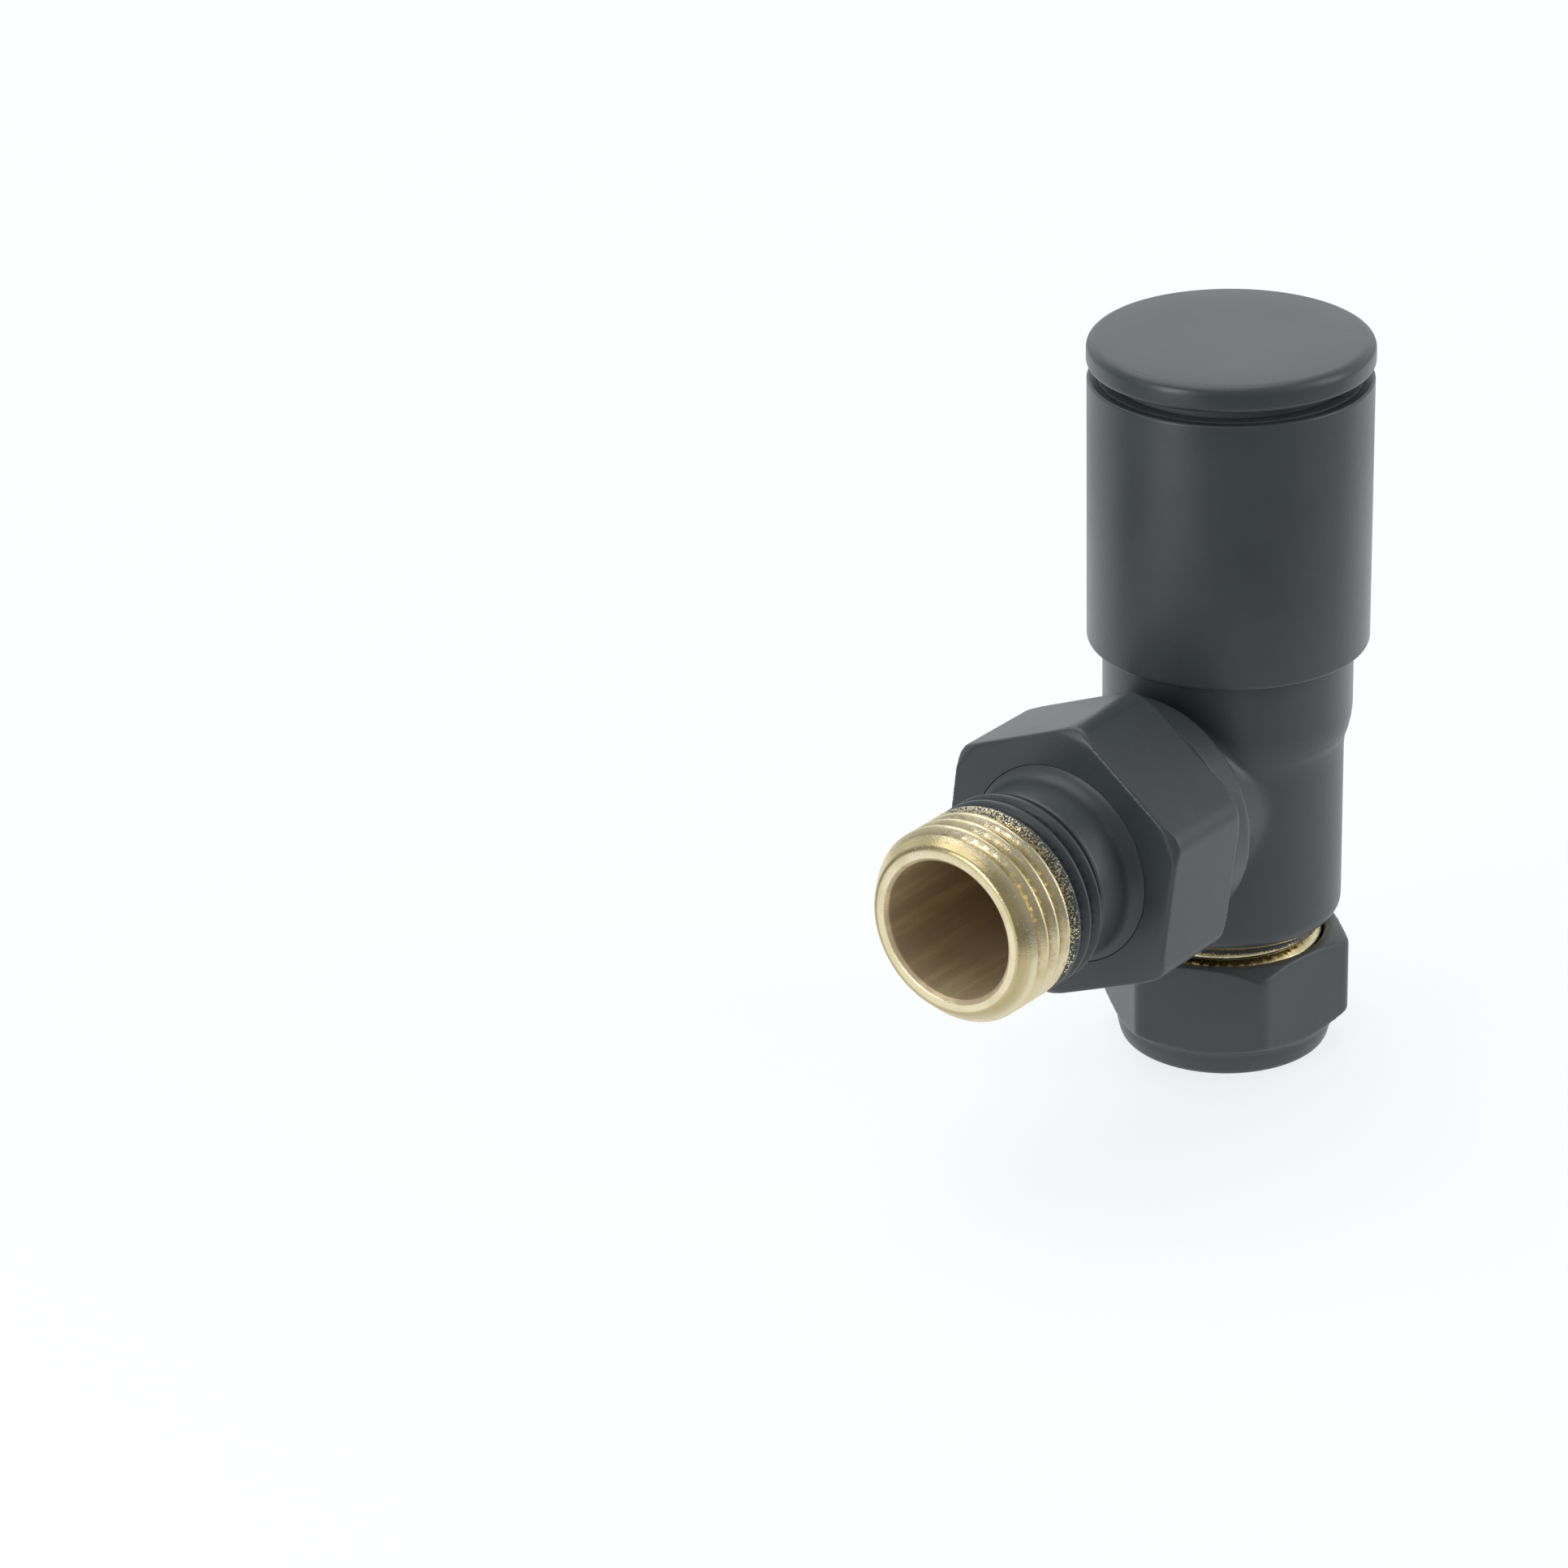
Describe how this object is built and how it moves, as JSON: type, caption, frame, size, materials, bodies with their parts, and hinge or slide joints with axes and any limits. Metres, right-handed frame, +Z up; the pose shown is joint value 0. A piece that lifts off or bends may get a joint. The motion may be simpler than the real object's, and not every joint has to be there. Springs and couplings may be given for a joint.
{
  "type": "lockshield valve",
  "caption": "Angled radiator valve: compression nut for the pipe below, threaded union tail at the side, and a tall round lockshield head with a flat lid.",
  "frame": {"origin": "on the valve's axis at the underside of the compression nut, where the pipe goes in", "axes": "+Z up along the pipe and spindle, -Y out along the union tail"},
  "size_m": [0.03, 0.065, 0.0804],
  "materials": {
    "anthracite": "satin anthracite powder coat",
    "brass": "machined, clean",
    "steel": "spring steel",
    "rubber": "matt black",
    "fibre": "pressed fibre sheet",
    "plastic": "moulded, matt black"
  },
  "bodies": {
    "pipe_end": {"olive": "brass"},
    "compression_nut": {"compression_nut": "anthracite"},
    "valve": {"valve_body": "anthracite", "bonnet": "brass", "bonnet_seal": "rubber", "gland_washer": "brass", "packing_ring_lower": "rubber", "packing_ring_upper": "rubber", "gland_nut": "brass", "shield_grip_ring": "rubber"},
    "plug": {"valve_plug": "brass", "seat_washer": "rubber", "washer_plate": "brass", "plug_screw": "brass", "spindle_circlip": "steel"},
    "spindle": {"spindle": "brass"},
    "insert": {"shield_insert": "plastic", "sleeve_ring": "steel"},
    "sleeve": {"shield_sleeve": "anthracite"},
    "cap": {"top_cap": "anthracite", "cap_plug": "plastic", "cap_ring": "rubber"},
    "tail": {"union_tail": "brass", "union_seal": "fibre"},
    "union_nut": {"union_nut": "anthracite"}
  },
  "joints": [
    {"name": "compression_nut_turn", "type": "hinge", "parent": "pipe_end", "child": "compression_nut", "pos_m": [0, 0, 0.007], "axis": [0, 0, -1], "range_deg": [0, 1275]},
    {"name": "valve_release", "type": "slide", "parent": "pipe_end", "child": "valve", "axis": [0, 0, 1], "range_m": [0, 0.0064]},
    {"name": "plug_lift", "type": "slide", "parent": "valve", "child": "plug", "axis": [0, 0, 1], "range_m": [0, 0.005]},
    {"name": "spindle_turn", "type": "hinge", "parent": "plug", "child": "spindle", "pos_m": [0, 0, 0.05], "axis": [0, 0, 1], "range_deg": [0, 1445]},
    {"name": "shield_lift", "type": "slide", "parent": "valve", "child": "insert", "axis": [0, 0, 1], "range_m": [0, 0.03]},
    {"name": "sleeve_spin", "type": "hinge", "parent": "insert", "child": "sleeve", "pos_m": [0, 0, 0.06], "axis": [0, 0, 1], "continuous": true},
    {"name": "cap_press", "type": "slide", "parent": "insert", "child": "cap", "axis": [0, 0, 1], "range_m": [-0.0013, 0.01]},
    {"name": "tail_draw", "type": "slide", "parent": "valve", "child": "tail", "axis": [0, -1, 0], "range_m": [0, 0.0046]},
    {"name": "union_nut_turn", "type": "hinge", "parent": "tail", "child": "union_nut", "pos_m": [0, -0.025, 0.032], "axis": [0, -1, 0], "range_deg": [0, 915]}
  ],
  "couplings": [
    {"joint": "compression_nut_turn", "follows": "valve_release", "rad_per_m": 3463.7},
    {"joint": "spindle_turn", "follows": "plug_lift", "rad_per_m": 5027.6},
    {"joint": "union_nut_turn", "follows": "tail_draw", "rad_per_m": 3463.7}
  ]
}
